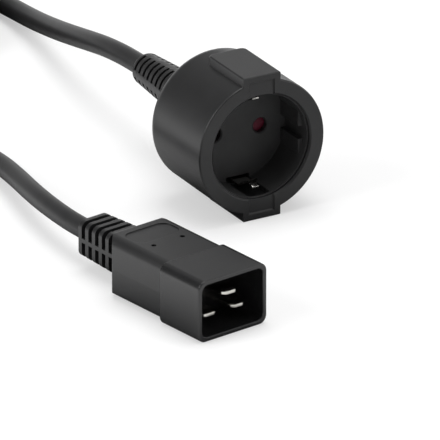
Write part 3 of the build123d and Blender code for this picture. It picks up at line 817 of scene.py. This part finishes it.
@dataclass
class Studio:
    """Pale floor, soft lamps, white surroundings and the camera."""

    target: Point = (-13.13 * MM, -34.64 * MM, -0.45 * MM)
    azimuth: float = -30.0
    elevation: float = 23.5
    distance: float = 5752.2 * MM
    frame_pixels: float = 440.0
    focal_pixels: float = 16000.0
    sensor: float = 36.0
    floor_half: float = 3.0
    floor_white: float = 0.9
    floor_glow: float = 0.45
    # Painted reflection of the floor in the object's gloss: its painted light and painted shadow.
    mirror_middle: float = 1.2
    mirror_right: float = -5.0
    mirror_least: float = 0.3
    mirror_most: float = 1.8
    painted_shadow_power: float = 4.0
    painted_shadow_reach: float = 200.0 * MM
    mirror_far: float = -260.0 * MM
    mirror_near: float = -120.0 * MM
    mirror_far_light: float = 0.7
    sky_bright_below: float = -0.05
    sky_bright: float = 1.3
    sky_dim_above: float = 0.4
    sky_dim: float = 0.28
    sky_to_right: float = 1.0
    sky_least: float = 0.5
    sky_most: float = 1.8
    top_from: float = 0.65
    top_full: float = 0.85
    top_light: float = 0.5
    lamps: tuple[Lamp, ...] = (
        Lamp("left_box", (-1.4, 0.1, 0.9), 0.9, 14.0),
        Lamp("top_box", (0.2, 0.2, 1.7), 1.1, 16.0),
        Lamp("right_box", (1.3, -1.2, 0.9), 0.8, 4.0),
    )

    def white_to_rays(self, sheet: NodeSheet, rays: tuple[Ray, ...]) -> bpy.types.NodeSocket:
        """Return 1 for the given kinds of ray and 0 for the rest.

        Args:
            sheet: the node sheet to work on.
            rays: the kinds of ray.

        Returns:
            The share.
        """
        path = sheet.node("LightPath")
        total = path.outputs[rays[0].value]
        for ray in rays[1:]:
            either = sheet.node("Math", operation="MAXIMUM")
            sheet.link(total, either.inputs[0])
            sheet.link(path.outputs[ray.value], either.inputs[1])
            total = either.outputs[0]
        return total

    def painted_floor_reflection(self, sheet: NodeSheet) -> bpy.types.NodeSocket:
        """Return the floor's painted reflection: painted light brightest to the left, painted shadow beneath
        it.

        Args:
            sheet: the node sheet to work on.

        Returns:
            The brightness.
        """
        spot = sheet.node("SeparateXYZ")
        sheet.link(sheet.place(), spot.inputs[0])
        across = spot.outputs["X"]
        # Painted light: the glow grows brighter towards the left, kept between its limits.
        side = sheet.weighed(self.mirror_middle, [(across, self.mirror_right)], self.mirror_least,
                             self.mirror_most)
        # Painted shadow: ambient occlusion, raised to a power, darkens the glow near and beneath the object.
        painted_shadow_occlusion = sheet.node("AmbientOcclusion", samples=FLOOR_SAMPLES)
        painted_shadow_occlusion.inputs["Distance"].default_value = self.painted_shadow_reach
        beneath = sheet.node("Math", operation="POWER")
        sheet.link(painted_shadow_occlusion.outputs["AO"], beneath.inputs[0])
        beneath.inputs[1].default_value = self.painted_shadow_power
        # Painted light fades towards the far left.
        far = sheet.node("MapRange", interpolation_type="SMOOTHSTEP")
        far.inputs["From Min"].default_value = self.mirror_far
        far.inputs["From Max"].default_value = self.mirror_near
        far.inputs["To Min"].default_value = self.mirror_far_light
        sheet.link(across, far.inputs["Value"])
        return sheet.product(sheet.product(side, far.outputs["Result"]), beneath.outputs[0])

    def floor(self) -> None:
        """Lay the pale floor, which shows almost white and keeps the object's shadow; in gloss it is a painted
        reflection.
        """
        half = self.floor_half
        mesh = bpy.data.meshes.new("floor")
        mesh.from_pydata([(-half, -half, 0), (half, -half, 0), (half, half, 0), (-half, half, 0)], [],
                         [(0, 1, 2, 3)])
        floor = bpy.data.objects.new("floor", mesh)
        bpy.context.scene.collection.objects.link(floor)
        material = bpy.data.materials.new("floor_paper")
        material.use_nodes = True
        sheet = NodeSheet(material.node_tree)
        paper = sheet.node("BsdfDiffuse")
        paper.inputs["Color"].default_value = (self.floor_white, self.floor_white, self.floor_white, 1.0)
        glow = sheet.node("Emission")
        share = sheet.node("Math", operation="MULTIPLY")
        sheet.link(self.white_to_rays(sheet, (Ray.CAMERA,)), share.inputs[0])
        share.inputs[1].default_value = self.floor_glow
        seen = sheet.node("MixShader")
        sheet.link(share.outputs[0], seen.inputs["Fac"])
        sheet.link(paper.outputs[0], seen.inputs[1])
        sheet.link(glow.outputs[0], seen.inputs[2])
        # Glossy rays see a glow instead of the paper: a painted reflection with painted light and painted
        # shadow.
        painted_reflection_glow = sheet.node("Emission")
        sheet.link(self.painted_floor_reflection(sheet), painted_reflection_glow.inputs["Strength"])
        mix = sheet.node("MixShader")
        sheet.link(self.white_to_rays(sheet, (Ray.GLOSSY,)), mix.inputs["Fac"])
        sheet.link(seen.outputs[0], mix.inputs[1])
        sheet.link(painted_reflection_glow.outputs[0], mix.inputs[2])
        sheet.surface(mix.outputs[0])
        mesh.materials.append(material)

    def world(self) -> None:
        """Surround the object with a soft room, bright around the horizon, that the camera sees as white."""
        world = bpy.data.worlds.new("white_room")
        bpy.context.scene.world = world
        world.use_nodes = True
        sheet = NodeSheet(world.node_tree)
        towards = sheet.node("SeparateXYZ")
        sheet.link(sheet.node("TexCoord").outputs["Generated"], towards.inputs[0])
        fall = sheet.node("MapRange", interpolation_type="SMOOTHSTEP")
        fall.inputs["From Min"].default_value = self.sky_bright_below
        fall.inputs["From Max"].default_value = self.sky_dim_above
        fall.inputs["To Min"].default_value = self.sky_bright
        fall.inputs["To Max"].default_value = self.sky_dim
        sheet.link(towards.outputs["Z"], fall.inputs["Value"])
        side = sheet.weighed(1.0, [(towards.outputs["X"], self.sky_to_right)], self.sky_least, self.sky_most)
        top = sheet.node("MapRange", interpolation_type="SMOOTHSTEP")
        top.inputs["From Min"].default_value = self.top_from
        top.inputs["From Max"].default_value = self.top_full
        top.inputs["To Max"].default_value = self.top_light
        sheet.link(towards.outputs["Z"], top.inputs["Value"])
        strength = sheet.weighed(0.0, [(sheet.product(fall.outputs["Result"], side), 1.0),
                                       (top.outputs["Result"], 1.0)])
        lit = sheet.node("Background")
        sheet.link(strength, lit.inputs["Strength"])
        seen = sheet.node("Background")
        for light in (lit, seen):
            light.inputs["Color"].default_value = (1.0, 1.0, 1.0, 1.0)
        mix = sheet.node("MixShader")
        sheet.link(self.white_to_rays(sheet, (Ray.CAMERA, Ray.TRANSMISSION)), mix.inputs["Fac"])
        sheet.link(lit.outputs[0], mix.inputs[1])
        sheet.link(seen.outputs[0], mix.inputs[2])
        sheet.surface(mix.outputs[0], "OutputWorld")

    def camera(self) -> None:
        """Set the long lens that looks at the object as the photograph does."""
        turn, lift = math.radians(self.azimuth), math.radians(self.elevation)
        outwards = Vector((math.sin(turn) * math.cos(lift), -math.cos(turn) * math.cos(lift), math.sin(lift)))
        data = bpy.data.cameras.new("camera")
        data.sensor_width = self.sensor
        data.lens = self.focal_pixels / self.frame_pixels * self.sensor
        data.clip_end = 2.0 * self.distance
        camera = bpy.data.objects.new("camera", data)
        camera.location = Vector(self.target) + outwards * self.distance
        camera.rotation_euler = (-outwards).to_track_quat("-Z", "Y").to_euler()
        bpy.context.scene.collection.objects.link(camera)
        bpy.context.scene.camera = camera

    def build(self) -> None:
        """Set up the studio."""
        self.camera()
        self.floor()
        self.world()
        for lamp in self.lamps:
            lamp.build(Vector(self.target))
        bpy.context.scene.view_settings.view_transform = "Standard"
        LOG.info("studio is set")


def main() -> None:
    """Build the studio, the cord and both ends."""
    logging.basicConfig(level=logging.INFO, format="%(name)s: %(message)s")
    workshop = Workshop(frame["nodes"])
    Studio().build()
    Cord(workshop).build(PlugEnd(workshop).build())
    SocketEnd(workshop).build()
    Cores(workshop).build()


if __name__ == "__main__":
    main()
